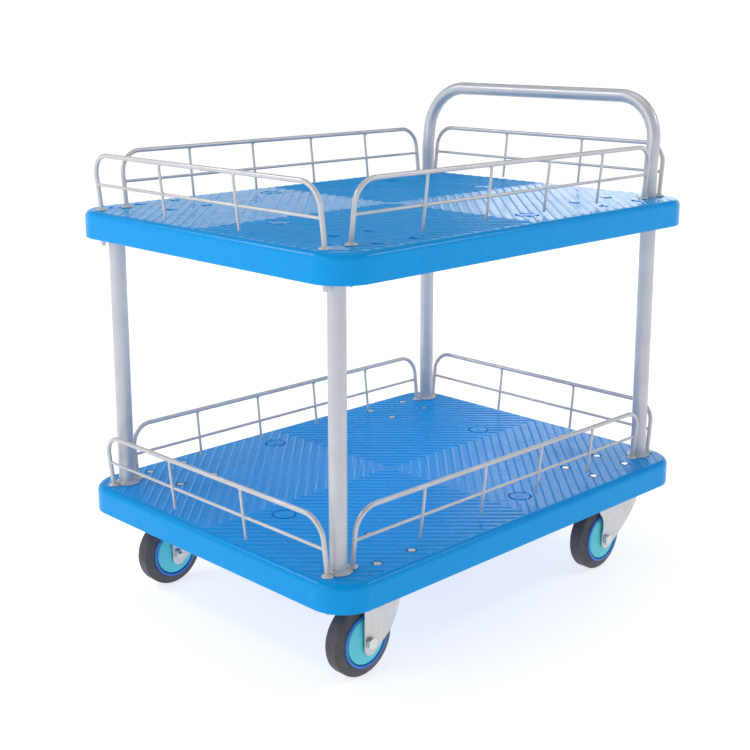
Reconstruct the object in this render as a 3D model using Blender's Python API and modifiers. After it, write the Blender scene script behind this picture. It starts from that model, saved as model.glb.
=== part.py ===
"""Two-deck platform cart: moulded decks on four posts, guard rails, a push handle,
two rigid casters at the front end (-Y) and two swivel casters at the handle end (+Y).

Units are metres, +Z is up. The origin is on the floor, under the middle of the decks.
"""
import math

import bmesh
import bpy
from mathutils import Matrix, Vector

# ---- driving dimensions -------------------------------------------------------------
DECK_LENGTH = 0.900
DECK_WIDTH = 0.688
DECK_DEPTH = 0.0475
DECK_CORNER = 0.061
DECK_EDGE = 0.010
DECK_WALL = 0.004
RIB = 0.003
RIBS_ACROSS = 8
RIBS_ALONG = 10
PANEL = (0.180, 0.420)
PANEL_RISE = 0.0008
LOWER_DECK_BOTTOM = 0.157
UPPER_DECK_BOTTOM = 0.660

POST_X = 0.2826
POST_Y = 0.399
POST_RADIUS = 0.0143
POST_BORE = 0.0131
POST_SOCKET = 0.030
FLANGE_RADIUS = 0.022
FLANGE_SHEET = 0.0022
CAP_RADIUS = 0.0165
CAP_STEM = 0.0090

HANDLE_RADIUS = 0.0125
HANDLE_WALL = 0.0018
HANDLE_TOP = 0.8915
HANDLE_BEND = 0.085
HANDLE_LEAN_START = 0.778
HANDLE_REACH = 0.018

RAIL_FOOT_PITCH = 0.0258
RAIL_FOOT_X = 0.2862
RAIL_HEIGHT = 0.0975
RAIL_LEAN = 0.012
RAIL_BEND = 0.038
RAIL_TUBE = 0.004
RAIL_WIRE = 0.0026
RAIL_MID_HEIGHT = 0.046
RAIL_WIRE_GAP = 0.005
RAIL_WASHER = 0.0098
RAIL_END_BELOW = 0.015
RAIL_END_OVER_CASTER = 0.006

RIGID_X = 0.2548
SWIVEL_X = 0.2630
WHEEL_RADIUS = 0.0625
TYRE_HALF = 0.0172
RIM_RADIUS = 0.0453
RIM_HALF = 0.0205
CAP_DISC = 0.0391
SLEEVE_RADIUS = 0.0080
AXLE_RADIUS = 0.0048
AXLE_TURN = math.pi / 2
RIGID_PLATE_Y = -0.296
RIGID_AXLE_Y = -0.3305
RIGID_BOLTS = (0.0944, 0.0768)
SWIVEL_PLATE_Y = 0.2875
SWIVEL_AXIS_Y = 0.3205
SWIVEL_AXLE_Y = 0.2925
SWIVEL_BOLTS = (0.0645, 0.099)
RACE_RADIUS = 0.0290
RACE_DEPTH = 0.0105
KINGPIN_RADIUS = 0.0060
CASTER_PLATE_TOP = 0.163
CASTER_SHEET = 0.0028
FORK_INSIDE = 0.0250
FORK_SHEET = 0.0025
BOLT_HOLE = 0.0045
HEAD_RECESS = 0.009
HEAD_RECESS_DEPTH = 0.004

GAP = 0.0003

# ---- derived heights ----------------------------------------------------------------
CASTER_SEAT = CASTER_PLATE_TOP - LOWER_DECK_BOTTOM + GAP
LOWER_DECK_TOP = LOWER_DECK_BOTTOM + DECK_DEPTH
UPPER_DECK_TOP = UPPER_DECK_BOTTOM + DECK_DEPTH
POST_BOTTOM = LOWER_DECK_TOP - POST_SOCKET + GAP
POST_TOP = UPPER_DECK_BOTTOM + POST_SOCKET
LONG_RAIL_REACH = POST_Y - RAIL_FOOT_PITCH
END_RAIL_Y = POST_Y + RAIL_FOOT_PITCH
HANDLE_FOOT = UPPER_DECK_BOTTOM - 0.035


# ---- scene and materials ------------------------------------------------------------
def start_scene():
    for item in list(bpy.data.objects):
        bpy.data.objects.remove(item, do_unlink=True)
    parts = bpy.data.collections.new("platform_cart")
    cutters = bpy.data.collections.new("cutters")
    bpy.context.scene.collection.children.link(parts)
    bpy.context.scene.collection.children.link(cutters)
    return parts, cutters


PARTS, CUTTERS = start_scene()

FINISHES = {
    "deck_blue": ((0.010, 0.290, 0.780), 0.38, 0.0),
    "powder_silver": ((0.520, 0.560, 0.600), 0.38, 0.6),
    "zinc_plate": ((0.620, 0.620, 0.600), 0.35, 0.9),
    "bright_steel": ((0.700, 0.700, 0.690), 0.25, 1.0),
    "tyre_rubber": ((0.075, 0.070, 0.085), 0.60, 0.0),
    "rim_blue": ((0.012, 0.200, 0.620), 0.40, 0.0),
    "cap_turquoise": ((0.080, 0.560, 0.600), 0.35, 0.0),
}


def paint(item, finish):
    """Give the piece a Principled material of its own in the named finish."""
    colour, roughness, metallic = FINISHES[finish]
    material = bpy.data.materials.new(item.name + "_" + finish)
    material.use_nodes = True
    shader = material.node_tree.nodes["Principled BSDF"]
    shader.inputs["Base Color"].default_value = (*colour, 1.0)
    shader.inputs["Roughness"].default_value = roughness
    shader.inputs["Metallic"].default_value = metallic
    item.data.materials.clear()
    item.data.materials.append(material)


# ---- modelling helpers --------------------------------------------------------------
def place(name, mesh, collection):
    item = bpy.data.objects.new(name, mesh)
    collection.objects.link(item)
    if collection is CUTTERS:
        item.hide_render = True
        item.display_type = "WIRE"
    return item


def mesh_from(work, name):
    bmesh.ops.recalc_face_normals(work, faces=work.faces)
    mesh = bpy.data.meshes.new(name)
    work.to_mesh(mesh)
    work.free()
    return mesh


def add_box(work, low, high):
    low, high = Vector(low), Vector(high)
    size = high - low
    fit = Matrix.Translation((low + high) / 2) @ Matrix.Diagonal((*size, 1.0))
    bmesh.ops.create_cube(work, size=1.0, matrix=fit)


def add_rod(work, start, end, radius, sides):
    """A round bar between two points."""
    start, end = Vector(start), Vector(end)
    along = end - start
    turn = along.to_track_quat("Z", "Y").to_matrix().to_4x4()
    fit = Matrix.Translation((start + end) / 2) @ turn
    bmesh.ops.create_cone(work, cap_ends=True, segments=sides, radius1=radius,
                          radius2=radius, depth=along.length, matrix=fit)


def slab_mesh(name, width, length, bottom, top, corner, edge=0.0):
    """An upright slab with round corners, and a round top edge where edge is given."""
    work = bmesh.new()
    add_box(work, (-width / 2, -length / 2, bottom), (width / 2, length / 2, top))
    upright = [e for e in work.edges
               if abs(e.verts[0].co.z - e.verts[1].co.z) > 1e-6]
    bmesh.ops.bevel(work, geom=upright, offset=corner, segments=5, profile=0.5,
                    affect="EDGES", clamp_overlap=False)
    if edge:
        rim = [e for e in work.edges
               if all(abs(v.co.z - top) < 1e-6 for v in e.verts) and len(e.link_faces) == 2
               and any(f.normal.z < 0.5 for f in e.link_faces)]
        bmesh.ops.bevel(work, geom=rim, offset=edge, segments=2, profile=0.5,
                        affect="EDGES", clamp_overlap=False)
    return mesh_from(work, name)


def combine(item, other, operation):
    """Boolean of item with other, which is then removed."""
    step = item.modifiers.new(operation.lower(), "BOOLEAN")
    step.operation = operation
    step.solver = "EXACT"
    step.object = other
    settle(item)
    bpy.data.objects.remove(other, do_unlink=True)


def settle(item):
    """Replace an object's mesh with its evaluated one."""
    bpy.context.view_layer.update()
    graph = bpy.context.evaluated_depsgraph_get()
    mesh = bpy.data.meshes.new_from_object(item.evaluated_get(graph))
    item.modifiers.clear()
    item.data = mesh


def shade(item, angle=32.0):
    item.data.shade_smooth()
    item.data.set_sharp_from_angle(angle=math.radians(angle))


def cut_with(item, fill):
    """Cut the shapes that fill(work) adds out of item."""
    work = bmesh.new()
    fill(work)
    combine(item, place("cutter", mesh_from(work, "cutter"), CUTTERS), "DIFFERENCE")


def join_with(item, fill):
    """Unite item with the shapes that fill(work) adds."""
    work = bmesh.new()
    fill(work)
    combine(item, place("addition", mesh_from(work, "addition"), CUTTERS), "UNION")


def turned(name, profile, sides, finish, closed=True):
    """Turn a profile of (radius, height) points, given down its outer side, about Z."""
    work = bmesh.new()
    points = [work.verts.new((radius, 0.0, height)) for radius, height in profile]
    for first, second in zip(points, points[1:]):
        work.edges.new((first, second))
    if closed:
        work.edges.new((points[-1], points[0]))
    mesh = bpy.data.meshes.new(name)
    work.to_mesh(mesh)
    work.free()
    item = place(name, mesh, PARTS)
    screw = item.modifiers.new("turn", "SCREW")
    screw.steps = sides
    screw.render_steps = sides
    screw.use_merge_vertices = True
    screw.merge_threshold = 0.00001
    settle(item)
    shade(item)
    paint(item, finish)
    return item


def tube(name, points, radius, resolution, collection):
    """A bar along straight runs between points, as a closed mesh."""
    curve = bpy.data.curves.new(name + "_path", "CURVE")
    curve.dimensions = "3D"
    curve.bevel_depth = radius
    curve.bevel_resolution = resolution
    curve.use_fill_caps = True
    spline = curve.splines.new("POLY")
    spline.points.add(len(points) - 1)
    for knot, point in zip(spline.points, points):
        knot.co = (*point, 1.0)
    path = bpy.data.objects.new(name + "_path", curve)
    CUTTERS.objects.link(path)
    bpy.context.view_layer.update()
    graph = bpy.context.evaluated_depsgraph_get()
    mesh = bpy.data.meshes.new_from_object(path.evaluated_get(graph))
    work = bmesh.new()
    work.from_mesh(mesh)
    bmesh.ops.remove_doubles(work, verts=work.verts, dist=0.00001)
    bmesh.ops.recalc_face_normals(work, faces=work.faces)
    work.to_mesh(mesh)
    work.free()
    item = place(name, mesh, collection)
    item.matrix_world = path.matrix_world
    bpy.data.objects.remove(path, do_unlink=True)
    return item


def clear(radius, sides, gap=GAP):
    """Corner radius of a bore with flat sides that clears a round bar by the gap."""
    return (radius + gap) / math.cos(math.pi / sides)


def arc(centre, radius, start, end, steps):
    """Points on an arc, as (u, v) pairs, with its angles in degrees."""
    turn = math.radians(end - start)
    first = math.radians(start)
    return [(centre[0] + radius * math.cos(first + turn * i / steps),
             centre[1] + radius * math.sin(first + turn * i / steps))
            for i in range(steps + 1)]


def corner_name(side_x, side_y):
    """front or rear, and left or right, as the two words of a corner piece's name."""
    return "rear" if side_y > 0 else "front", "right" if side_x > 0 else "left"


# ---- decks --------------------------------------------------------------------------
def bolt_places():
    """The sixteen caster bolt positions, the same in both decks."""
    for x, y, (pitch_x, pitch_y) in ((RIGID_X, RIGID_PLATE_Y, RIGID_BOLTS),
                                     (SWIVEL_X, SWIVEL_PLATE_Y, SWIVEL_BOLTS)):
        for side in (-1, 1):
            for step_x in (-0.5, 0.5):
                for step_y in (-0.5, 0.5):
                    yield side * x + step_x * pitch_x, y + step_y * pitch_y


def rail_foot_places():
    for side_x in (-1, 1):
        for side_y in (-1, 1):
            yield side_x * RAIL_FOOT_X, side_y * LONG_RAIL_REACH
            yield side_x * RAIL_FOOT_X, side_y * END_RAIL_Y


def corner_signs():
    return [(side_x, side_y) for side_x in (-1, 1) for side_y in (-1, 1)]


def caster_areas():
    """Low and high corners, in plan, of the four places where casters bolt on."""
    for side in (-1, 1):
        x = side * RIGID_X
        yield (x - 0.061, RIGID_PLATE_Y - 0.054), (x + 0.061, RIGID_PLATE_Y + 0.054)
        x = side * SWIVEL_X
        yield (x - 0.049, SWIVEL_PLATE_Y - 0.065), (x + 0.049, SWIVEL_PLATE_Y + 0.065)


def hollow_shape(bottom, top):
    """What is scooped out of a deck from below: its inside, less the ribs and pads."""
    inside = slab_mesh("inside", DECK_WIDTH - 2 * DECK_WALL, DECK_LENGTH - 2 * DECK_WALL,
                       bottom - 0.002, top - DECK_WALL, DECK_CORNER - DECK_WALL)
    scoop = place("scoop", inside, CUTTERS)
    rib_bottom = bottom - 0.01
    over = top + 0.002
    half_w, half_l = DECK_WIDTH / 2 + 0.01, DECK_LENGTH / 2 + 0.01
    pitch_x = (DECK_WIDTH - DECK_WALL) / RIBS_ACROSS
    pitch_y = (DECK_LENGTH - DECK_WALL) / RIBS_ALONG

    def ribs_along(work):
        for index in range(1, RIBS_ACROSS):
            x = (index - RIBS_ACROSS / 2) * pitch_x
            add_box(work, (x - RIB / 2, -half_l, rib_bottom), (x + RIB / 2, half_l, over))

    def ribs_across(work):
        for index in range(1, RIBS_ALONG):
            y = (index - RIBS_ALONG / 2) * pitch_y
            add_box(work, (-half_w, y - RIB / 2, rib_bottom), (half_w, y + RIB / 2, over))

    def caster_pads(work):
        for low, high in caster_areas():
            add_box(work, (*low, rib_bottom), (*high, over))

    def corner_pads(work):
        for side_x, side_y in corner_signs():
            x, y = side_x * POST_X, side_y * POST_Y
            add_box(work, (x - 0.024, y - 0.037, rib_bottom),
                    (x + 0.024, y + 0.037, over))

    for fill in (ribs_along, ribs_across, caster_pads, corner_pads):
        cut_with(scoop, fill)
    return scoop


def deck(name, bottom, is_lower):
    top = bottom + DECK_DEPTH
    body = place(name, slab_mesh(name, DECK_WIDTH, DECK_LENGTH, bottom, top,
                                 DECK_CORNER, DECK_EDGE), PARTS)
    combine(body, hollow_shape(bottom, top), "DIFFERENCE")

    def caster_seats(work):
        for low, high in caster_areas():
            add_box(work, (*low, bottom - 0.01), (*high, bottom + CASTER_SEAT))

    def recesses(work):
        for x, y in bolt_places():
            add_rod(work, (x, y, top - HEAD_RECESS_DEPTH), (x, y, top + 0.01),
                    HEAD_RECESS, 8)
        if not is_lower:
            for side in (-1, 1):
                add_rod(work, (side * POST_X, -POST_Y, top - 0.003),
                        (side * POST_X, -POST_Y, top + 0.01), clear(CAP_RADIUS, 12), 12)

    def holes(work):
        for x, y in rail_foot_places():
            add_rod(work, (x, y, bottom - 0.01), (x, y, top + 0.01),
                    clear(RAIL_TUBE, 6), 6)
        if is_lower:
            for x, y in bolt_places():
                add_rod(work, (x, y, bottom - 0.01), (x, y, top - 0.002), BOLT_HOLE, 6)
            for side_x, side_y in corner_signs():
                x, y = side_x * POST_X, side_y * POST_Y
                add_rod(work, (x, y, top - POST_SOCKET), (x, y, top + 0.01),
                        clear(POST_RADIUS, 16), 16)
        else:
            for side_x, side_y in corner_signs():
                x, y = side_x * POST_X, side_y * POST_Y
                add_rod(work, (x, y, bottom - 0.01), (x, y, POST_TOP + GAP),
                        clear(POST_RADIUS, 16), 16)

    def upper_bores(work):
        for side in (-1, 1):
            add_rod(work, (side * POST_X, POST_Y, POST_TOP - 0.005),
                    (side * POST_X, POST_Y, top + 0.01), clear(HANDLE_RADIUS, 14), 14)
            add_rod(work, (side * POST_X, -POST_Y, POST_TOP - 0.005),
                    (side * POST_X, -POST_Y, top - 0.001), clear(CAP_STEM, 8), 8)

    cut_with(body, caster_seats)
    cut_with(body, recesses)
    cut_with(body, holes)
    if not is_lower:
        cut_with(body, upper_bores)
    panel = slab_mesh("panel", PANEL[0], PANEL[1], top - 0.002, top + PANEL_RISE, 0.01)
    combine(body, place("panel", panel, CUTTERS), "UNION")
    shade(body, 25.0)
    paint(body, "deck_blue")
    return body


# ---- posts, their flanges and caps --------------------------------------------------
def posts():
    profile = [(POST_RADIUS, POST_TOP), (POST_RADIUS, POST_BOTTOM),
               (POST_BORE, POST_BOTTOM), (POST_BORE, POST_TOP)]
    for side_x, side_y in corner_signs():
        end, side = corner_name(side_x, side_y)
        post = turned(end + "_post_" + side, profile, 16, "powder_silver")
        post.location = (side_x * POST_X, side_y * POST_Y, 0.0)


def post_flanges():
    """Round plates at the posts' feet, notched for the rails' washers beside them."""
    low, high = GAP, GAP + FLANGE_SHEET
    bore = clear(POST_RADIUS, 18)
    for side_x, side_y in corner_signs():
        end, side = corner_name(side_x, side_y)
        flange = turned(end + "_post_flange_" + side,
                        [(FLANGE_RADIUS, high), (FLANGE_RADIUS, low),
                         (bore, low), (bore, high)], 18, "powder_silver")
        shift = side_x * (RAIL_FOOT_X - POST_X)

        def notches(work):
            for step in (-1, 1):
                y = step * RAIL_FOOT_PITCH
                add_rod(work, (shift, y, -0.01), (shift, y, 0.02),
                        RAIL_WASHER + 0.0004, 10)

        cut_with(flange, notches)
        flange.location = (side_x * POST_X, side_y * POST_Y, LOWER_DECK_TOP)
        shade(flange)
        paint(flange, "powder_silver")


def post_caps():
    """Push-in caps over the two front posts, flush with the upper deck."""
    top = UPPER_DECK_TOP - 0.0004
    seat = UPPER_DECK_TOP - 0.003 + GAP
    foot = POST_TOP - 0.006
    for side, word in ((-1, "left"), (1, "right")):
        cap = turned("post_cap_" + word,
                     [(0.0, top), (CAP_RADIUS - 0.001, top), (CAP_RADIUS, top - 0.001),
                      (CAP_RADIUS, seat), (CAP_STEM, seat), (CAP_STEM, foot),
                      (0.0, foot)], 12, "deck_blue", closed=False)
        cap.location = (side * POST_X, -POST_Y, 0.0)


# ---- push handle --------------------------------------------------------------------
def push_handle():
    """A U of tube: its legs stand in the rear posts, and lean back above the deck."""
    rise = HANDLE_TOP - HANDLE_LEAN_START
    slope = math.hypot(rise, HANDLE_REACH)
    corner = arc((POST_X - HANDLE_BEND, slope - HANDLE_BEND), HANDLE_BEND, 0.0, 90.0, 7)
    half = [(POST_X, POST_Y, HANDLE_FOOT), (POST_X, POST_Y, HANDLE_LEAN_START - 0.012)]
    for x, along in corner:
        half.append((x, POST_Y + HANDLE_REACH * along / slope,
                     HANDLE_LEAN_START + rise * along / slope))
    bore = [(POST_X, POST_Y, HANDLE_FOOT - 0.010)] + half[1:]

    def both_sides(points):
        return points + [(-x, y, z) for x, y, z in reversed(points)]

    handle = tube("push_handle", both_sides(half), HANDLE_RADIUS, 3, PARTS)
    inside = tube("handle_bore", both_sides(bore), HANDLE_RADIUS - HANDLE_WALL, 2, CUTTERS)
    combine(handle, inside, "DIFFERENCE")
    shade(handle)
    paint(handle, "powder_silver")


# ---- guard rails --------------------------------------------------------------------
def rail(name, reach, wires, below=RAIL_END_BELOW):
    """A rail along Y, standing on z = 0 and leaning towards +X.

    Its feet go through the deck and end that far below it."""
    slope = math.hypot(RAIL_HEIGHT, RAIL_LEAN)

    def lean(y, along):
        return RAIL_LEAN * along / slope, y, RAIL_HEIGHT * along / slope

    corner = arc((reach - RAIL_BEND, slope - RAIL_BEND), RAIL_BEND, 0.0, 90.0, 4)
    half = [(0.0, reach, -DECK_DEPTH - below), (0.0, reach, 0.004)]
    half += [lean(y, along) for y, along in corner]
    points = half + [(x, -y, z) for x, y, z in reversed(half)]
    item = tube(name, points, RAIL_TUBE, 1, PARTS)
    middle = RAIL_MID_HEIGHT
    pitch = 2 * reach / (wires + 1)

    def mid_wire(work):
        add_rod(work, lean(-reach, middle), lean(reach, middle), RAIL_WIRE, 5)

    def uprights(work):
        for index in range(wires):
            y = (index + 1) * pitch - reach
            add_rod(work, lean(y, RAIL_WIRE_GAP), lean(y, slope), RAIL_WIRE * 0.92, 4)

    def washers(work):
        for y in (-reach, reach):
            add_rod(work, (0.0, y, GAP), (0.0, y, GAP + 0.0024), RAIL_WASHER, 8)

    for fill in (mid_wire, uprights, washers):
        join_with(item, fill)
    shade(item)
    return item


def guard_rails():
    short = rail("lower_rail_right", LONG_RAIL_REACH, 4, RAIL_END_OVER_CASTER)
    long_rail = rail("upper_rail_right", LONG_RAIL_REACH, 4)
    end_rail = rail("lower_rail_rear", RAIL_FOOT_X, 2)
    for level, height, side_rail in (("lower", LOWER_DECK_TOP, short),
                                     ("upper", UPPER_DECK_TOP, long_rail)):
        for word, base, spot, turn in (
                ("right", side_rail, (RAIL_FOOT_X, 0.0, height), 0.0),
                ("left", side_rail, (-RAIL_FOOT_X, 0.0, height), math.pi),
                ("rear", end_rail, (0.0, END_RAIL_Y, height), math.pi / 2),
                ("front", end_rail, (0.0, -END_RAIL_Y, height), -math.pi / 2)):
            name = level + "_rail_" + word
            item = base if base.name == name else place(name, base.data.copy(), PARTS)
            item.location = spot
            item.rotation_euler = (0.0, 0.0, turn)
            paint(item, "powder_silver")


# ---- wheels -------------------------------------------------------------------------
def wheel(tag, axle, side):
    """Tyre, rim and both hub caps, each turned about the axle's line."""
    r = WHEEL_RADIUS
    tyre_side = [(r, 0.0105), (r - 0.0025, 0.0135), (r - 0.0110, TYRE_HALF)]
    inner = clear(RIM_RADIUS, 30)
    profile = (list(reversed(tyre_side)) + [(radius, -half) for radius, half in tyre_side]
               + [(inner, -TYRE_HALF), (inner, TYRE_HALF)])
    tyre = turned("tyre_" + tag, profile, 30, "tyre_rubber")
    bore = clear(SLEEVE_RADIUS, 24)
    seat = clear(CAP_DISC, 24)
    rim = turned("rim_" + tag,
                 [(RIM_RADIUS, RIM_HALF), (RIM_RADIUS, -RIM_HALF), (seat, -RIM_HALF),
                  (seat, -0.0100), (bore, -0.0100), (bore, 0.0100),
                  (seat, 0.0100), (seat, RIM_HALF)],
                 24, "rim_blue")
    pieces = [tyre, rim]
    for word, way in (("outer", 1), ("inner", -1)):
        face = [(CAP_DISC, 0.0198), (CAP_DISC, 0.0103), (bore, 0.0103), (bore, 0.0222)]
        if way < 0:
            face = [(radius, -half) for radius, half in reversed(face)]
        pieces.append(turned("hub_cap_" + word + "_" + tag, face, 24, "cap_turquoise"))
    for piece in pieces:
        piece.location = axle
        piece.rotation_euler = (0.0, side * AXLE_TURN, 0.0)


def axle_set(tag, axle, side):
    """The spacer sleeve that the wheel turns on, its bolt, head outwards, and its nut."""
    inside = FORK_INSIDE - GAP
    outside = FORK_INSIDE + FORK_SHEET + GAP
    bore = clear(AXLE_RADIUS, 12)
    nut_bore = clear(AXLE_RADIUS, 6)
    sleeve = turned("axle_sleeve_" + tag,
                    [(SLEEVE_RADIUS, inside), (SLEEVE_RADIUS, -inside),
                     (bore, -inside), (bore, inside)],
                    12, "zinc_plate")
    bolt = turned("axle_bolt_" + tag,
                  [(0.0, outside + 0.003), (AXLE_RADIUS, outside + 0.003),
                   (AXLE_RADIUS, -outside - 0.0115), (0.0, -outside - 0.0115)],
                  10, "bright_steel", closed=False)

    def head(work):
        bmesh.ops.create_cone(work, cap_ends=True, segments=6, radius1=0.0098,
                              radius2=0.0098, depth=0.0070,
                              matrix=Matrix.Translation((0.0, 0.0, outside + 0.0035)))

    join_with(bolt, head)
    shade(bolt)
    paint(bolt, "bright_steel")
    nut = turned("axle_nut_" + tag,
                 [(0.0092, -outside), (0.0092, -outside - 0.0080),
                  (nut_bore, -outside - 0.0080), (nut_bore, -outside)],
                 6, "bright_steel")
    for piece in (sleeve, bolt, nut):
        piece.location = axle
        piece.rotation_euler = (0.0, side * AXLE_TURN, 0.0)


# ---- caster frames ------------------------------------------------------------------
def leg_body(name, outline, top, drop):
    """Two side legs of the same outline, about the axle, joined by a flat crown."""
    work = bmesh.new()
    for side in (-1, 1):
        inner, outer = side * FORK_INSIDE, side * (FORK_INSIDE + FORK_SHEET)
        loops = [[work.verts.new((x, y, z)) for y, z in outline] for x in (inner, outer)]
        work.faces.new(loops[0])
        work.faces.new(loops[1])
        count = len(outline)
        for index in range(count):
            follow = (index + 1) % count
            work.faces.new((loops[0][index], loops[0][follow],
                            loops[1][follow], loops[1][index]))
    item = place(name, mesh_from(work, name), PARTS)
    low = min(y for y, z in outline if z > top - 0.001)
    high = max(y for y, z in outline if z > top - 0.001)
    half = FORK_INSIDE + FORK_SHEET

    def crown(work):
        add_box(work, (-half, low, top - drop), (half, high, top))

    join_with(item, crown)
    return item


def axle_bores(work):
    reach = FORK_INSIDE + 0.02
    add_rod(work, (-reach, 0.0, 0.0), (reach, 0.0, 0.0), clear(AXLE_RADIUS, 10), 10)


def rigid_outline(top):
    """The rigid leg: an upright front edge, a round foot, a sloping back edge."""
    foot = arc((0.0025, -0.0085), 0.0140, 180.0, 318.0, 5)
    back = [(0.0425, 0.0050), (0.0497, 0.0135), (0.0566, 0.0250), (0.0635, 0.0420),
            (0.0675, 0.0600), (0.0690, top)]
    return [(-0.0115, top)] + foot + back


def rigid_caster(tag, side):
    axle = (side * RIGID_X, RIGID_AXLE_Y, WHEEL_RADIUS)
    top = CASTER_PLATE_TOP - WHEEL_RADIUS
    bracket = leg_body("rigid_bracket_" + tag, rigid_outline(top), top, CASTER_SHEET)
    middle = RIGID_PLATE_Y - RIGID_AXLE_Y

    def plate(work):
        add_box(work, (-0.0590, middle - 0.0520, top - CASTER_SHEET),
                (0.0590, middle + 0.0520, top))

    def bolt_holes(work):
        for step_x in (-0.5, 0.5):
            for step_y in (-0.5, 0.5):
                x, y = step_x * RIGID_BOLTS[0], middle + step_y * RIGID_BOLTS[1]
                add_rod(work, (x, y, top - 0.01), (x, y, top + 0.01), BOLT_HOLE, 6)

    join_with(bracket, plate)
    cut_with(bracket, bolt_holes)
    cut_with(bracket, axle_bores)
    bracket.location = axle
    shade(bracket)
    paint(bracket, "zinc_plate")
    wheel(tag, axle, side)
    axle_set(tag, axle, side)


def swivel_outline(top):
    """The swivel leg: narrow at the axle, flaring up to the crown behind it."""
    front = [(-0.0245, top), (-0.0215, 0.0583), (-0.0138, 0.0475), (-0.0095, 0.0380),
             (-0.0088, 0.0230), (-0.0115, 0.0090)]
    foot = arc((0.0020, -0.0045), 0.0145, 175.0, 300.0, 5)
    back = [(0.0285, -0.0070), (0.0435, 0.0045), (0.0615, 0.0175), (0.0770, 0.0310),
            (0.0900, 0.0455), (0.0962, 0.0580), (0.0975, top)]
    return front + foot + back


def swivel_caster(tag, side):
    x = side * SWIVEL_X
    axle = (x, SWIVEL_AXLE_Y, WHEEL_RADIUS)
    plate_bottom = CASTER_PLATE_TOP - CASTER_SHEET
    race_bottom = plate_bottom - RACE_DEPTH
    crown_top = race_bottom - GAP
    trail = SWIVEL_AXIS_Y - SWIVEL_AXLE_Y

    plate = place("swivel_plate_" + tag,
                  slab_mesh("plate", 0.092, 0.125, plate_bottom, CASTER_PLATE_TOP, 0.006),
                  PARTS)

    def plate_holes(work):
        for step_x in (-0.5, 0.5):
            for step_y in (-0.5, 0.5):
                u, v = step_x * SWIVEL_BOLTS[0], step_y * SWIVEL_BOLTS[1]
                add_rod(work, (u, v, plate_bottom - 0.01), (u, v, plate_bottom + 0.02),
                        BOLT_HOLE, 6)
        v = SWIVEL_AXIS_Y - SWIVEL_PLATE_Y
        add_rod(work, (0.0, v, plate_bottom - 0.01), (0.0, v, plate_bottom + 0.02),
                clear(KINGPIN_RADIUS, 12), 12)

    cut_with(plate, plate_holes)
    plate.location = (x, SWIVEL_PLATE_Y, 0.0)
    shade(plate)
    paint(plate, "zinc_plate")

    race_top = plate_bottom - GAP
    bore = clear(KINGPIN_RADIUS, 20)
    race = turned("ball_race_" + tag,
                  [(RACE_RADIUS - 0.0020, race_top), (RACE_RADIUS, race_top - 0.0025),
                   (RACE_RADIUS, race_bottom + 0.0030), (RACE_RADIUS - 0.0040, race_bottom),
                   (bore, race_bottom), (bore, race_top)],
                  20, "zinc_plate")
    race.location = (x, SWIVEL_AXIS_Y, 0.0)

    head_top = crown_top - CASTER_SHEET - GAP
    kingpin = turned("kingpin_" + tag,
                     [(0.0, CASTER_PLATE_TOP - 0.0005), (KINGPIN_RADIUS, CASTER_PLATE_TOP - 0.0005),
                      (KINGPIN_RADIUS, head_top), (0.0110, head_top),
                      (0.0100, head_top - 0.0040), (0.0, head_top - 0.0050)],
                     12, "bright_steel", closed=False)
    kingpin.location = (x, SWIVEL_AXIS_Y, 0.0)

    top = crown_top - WHEEL_RADIUS
    fork = leg_body("swivel_fork_" + tag, swivel_outline(top), top, CASTER_SHEET)

    def pin_hole(work):
        add_rod(work, (0.0, trail, top - 0.01), (0.0, trail, top + 0.01),
                clear(KINGPIN_RADIUS, 10), 10)

    cut_with(fork, pin_hole)
    cut_with(fork, axle_bores)
    fork.data.transform(Matrix.Translation((0.0, -trail, WHEEL_RADIUS)))
    fork.location = (x, SWIVEL_AXIS_Y, 0.0)
    shade(fork)
    paint(fork, "zinc_plate")
    wheel(tag, axle, side)
    axle_set(tag, axle, side)


# ---- the whole cart -----------------------------------------------------------------
deck("lower_deck", LOWER_DECK_BOTTOM, True)
deck("upper_deck", UPPER_DECK_BOTTOM, False)
posts()
post_flanges()
post_caps()
push_handle()
guard_rails()
for word, sign in (("left", -1), ("right", 1)):
    rigid_caster("front_" + word, sign)
    swivel_caster("rear_" + word, sign)
bpy.context.view_layer.update()
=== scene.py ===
"""Looks of the two-deck platform cart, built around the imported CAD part.

Metres, +Z up, the push handle at +Y. Every visible piece is made here at the place of the
CAD node that it stands for, and rides on that node's body.
"""

import itertools
import math

import bmesh
import bpy
from mathutils import Matrix, Vector


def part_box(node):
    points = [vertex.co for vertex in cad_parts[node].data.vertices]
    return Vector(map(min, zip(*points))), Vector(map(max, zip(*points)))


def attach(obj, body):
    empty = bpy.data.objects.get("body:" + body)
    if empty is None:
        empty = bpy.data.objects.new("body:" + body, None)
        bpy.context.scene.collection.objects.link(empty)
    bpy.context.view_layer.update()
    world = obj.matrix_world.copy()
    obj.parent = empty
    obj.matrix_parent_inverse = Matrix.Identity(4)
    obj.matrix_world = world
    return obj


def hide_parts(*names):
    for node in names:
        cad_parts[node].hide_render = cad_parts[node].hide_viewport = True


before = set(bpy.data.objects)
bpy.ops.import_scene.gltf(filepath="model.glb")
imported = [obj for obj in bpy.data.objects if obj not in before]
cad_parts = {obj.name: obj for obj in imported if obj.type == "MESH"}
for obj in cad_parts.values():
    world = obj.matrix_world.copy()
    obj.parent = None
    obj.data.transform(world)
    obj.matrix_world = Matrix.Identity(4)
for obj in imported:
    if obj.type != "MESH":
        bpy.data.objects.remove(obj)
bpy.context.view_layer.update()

# ---- sizes, the same as the CAD part's ----------------------------------------------
DECK_X, DECK_Y = 0.344, 0.450
DECK_DEPTH, DECK_CORNER, DECK_EDGE, DECK_WALL = 0.0475, 0.061, 0.0115, 0.004
DECK_BOTTOMS = {"lower": 0.157, "upper": 0.660}
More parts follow.
